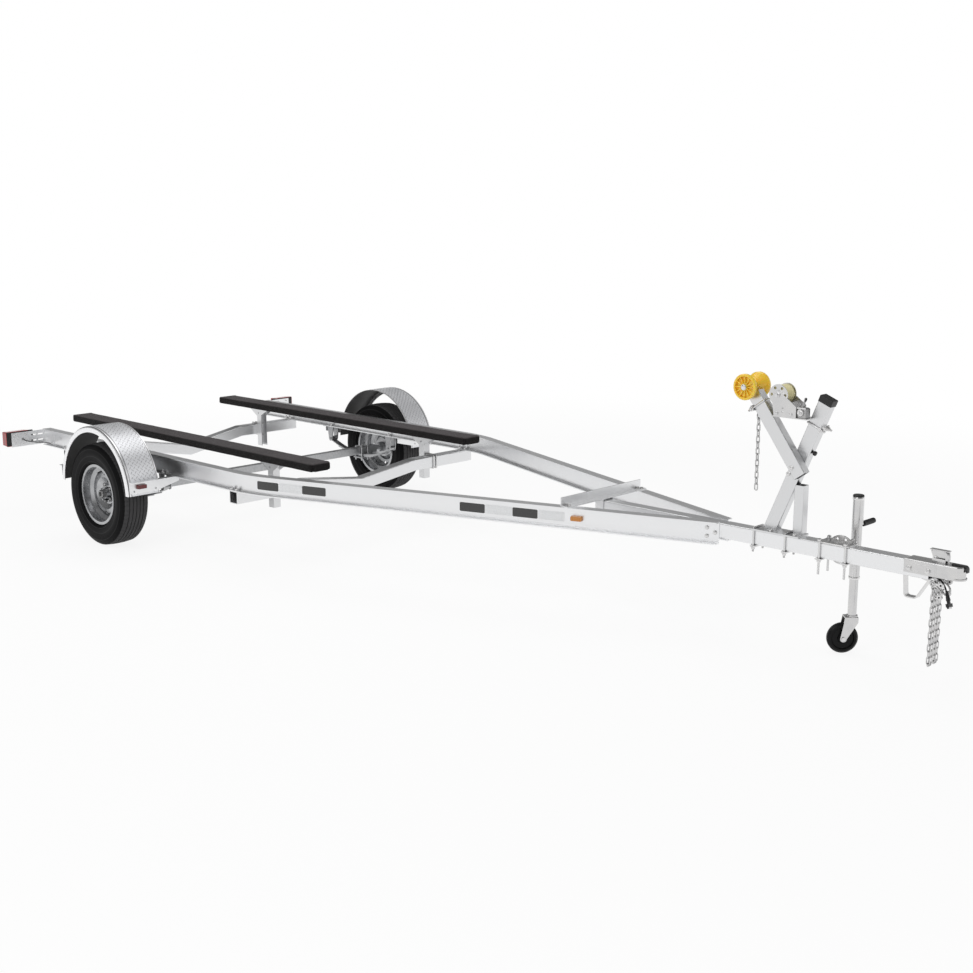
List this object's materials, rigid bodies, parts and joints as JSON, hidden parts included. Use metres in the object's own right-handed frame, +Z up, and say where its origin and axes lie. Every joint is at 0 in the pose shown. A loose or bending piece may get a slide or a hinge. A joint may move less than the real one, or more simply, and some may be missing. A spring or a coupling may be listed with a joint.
{
  "type": "boat trailer",
  "caption": "Bolted aluminium I-beam boat trailer: single leaf-sprung axle, round fenders, carpeted bunks, winch stand with bow roller, swivel tongue jack, ball coupler and safety chains.",
  "frame": {"origin": "on the ground, at mid length and mid width of the trailer as it parks on its wheels and jack", "axes": "+X forwards to the coupler, +Y to the trailer's left, +Z up"},
  "size_m": [6.4746, 2.59, 1.3552],
  "materials": {
    "aluminium": "satin mill-finish extrusion",
    "tread_plate": "bright polished diamond plate",
    "galvanised": "hot-dip galvanised steel",
    "zinc": "bright zinc plate",
    "steel_painted": "silver enamel on wheels and hubs",
    "tyre": "matt black rubber",
    "carpet": "black marine bunk carpet",
    "red_lens": "red lamp lens",
    "amber_lens": "amber marker lens",
    "black_plastic": "black moulded plastic",
    "roller_rubber": "amber moulded polyurethane",
    "strap": "cream woven polyester webbing",
    "wire": "black cable sheath"
  },
  "bodies": {
    "chassis": {"axle": "galvanised", "axle_clamps": "galvanised", "bow_chain": "galvanised", "bunk_brackets": "aluminium", "bunk_left": "carpet", "bunk_posts": "aluminium", "bunk_right": "carpet", "chain_ears": "galvanised", "coupler": "zinc", "coupler_latch": "black_plastic", "coupler_lever": "zinc", "crossmember_front": "aluminium", "crossmember_rear": "aluminium", "fender_brackets": "aluminium", "fender_lamps": "red_lens", "fender_left": "tread_plate", "fender_right": "tread_plate", "jack_mount": "galvanised", "leaf_springs": "galvanised", "marker_lamps": "amber_lens", "post_u_bolts": "galvanised", "rail_left": "aluminium", "rail_right": "aluminium", "roller_arm": "aluminium", "roller_pin": "zinc", "safety_chains": "galvanised", "spring_hangers": "galvanised", "stand_base": "aluminium", "stand_brace": "aluminium", "stand_clamps": "galvanised", "stand_post": "aluminium", "stand_post_cap": "black_plastic", "stand_u_bolts": "galvanised", "tail_lamp_brackets": "aluminium", "tail_lamps": "red_lens", "tongue": "aluminium", "tongue_cross_bar": "aluminium", "tongue_loop": "galvanised", "trailer_wire": "wire", "winch_frame": "zinc", "winch_ratchet": "zinc", "wire_plug": "wire"},
    "wheel_left_body": {"hub_left": "steel_painted", "wheel_left": "steel_painted", "tyre_left": "tyre"},
    "wheel_right_body": {"hub_right": "steel_painted", "wheel_right": "steel_painted", "tyre_right": "tyre"},
    "jack": {"jack_tube": "zinc", "jack_crank": "zinc", "jack_cap_and_grip": "black_plastic"},
    "jack_leg_body": {"jack_leg": "zinc"},
    "caster": {"caster_fork": "zinc"},
    "caster_wheel_body": {"caster_wheel": "black_plastic"},
    "roller": {"bow_roller": "roller_rubber"},
    "winch": {"winch_drum": "zinc", "winch_strap": "strap"}
  },
  "joints": [
    {"name": "wheel_left_spin", "type": "hinge", "parent": "chassis", "child": "wheel_left_body", "pos_m": [-1.95, 1.18, 0.3315], "axis": [0, 1, 0], "continuous": true},
    {"name": "wheel_right_spin", "type": "hinge", "parent": "chassis", "child": "wheel_right_body", "pos_m": [-1.95, -1.18, 0.3315], "axis": [0, 1, 0], "continuous": true},
    {"name": "jack_swivel", "type": "hinge", "parent": "chassis", "child": "jack", "pos_m": [2.604, 0.08, 0.545], "axis": [0, 1, 0], "range_deg": [0, 90]},
    {"name": "jack_lift", "type": "slide", "parent": "jack", "child": "jack_leg_body", "axis": [0, 0, -1], "range_m": [-0.17, 0.08]},
    {"name": "caster_swivel", "type": "hinge", "parent": "jack_leg_body", "child": "caster", "pos_m": [2.604, 0.18, 0.18], "axis": [0, 0, 1], "continuous": true},
    {"name": "caster_roll", "type": "hinge", "parent": "caster", "child": "caster_wheel_body", "pos_m": [2.57348, 0.15114, 0.076], "axis": [0.6871, -0.7266, 0], "continuous": true},
    {"name": "roller_spin", "type": "hinge", "parent": "chassis", "child": "roller", "pos_m": [2.11432, -0.02515, 1.29124], "axis": [0, 1, 0], "continuous": true},
    {"name": "winch_spin", "type": "hinge", "parent": "chassis", "child": "winch", "pos_m": [2.281, -0.014, 1.266], "axis": [0, 1, 0], "continuous": true}
  ]
}
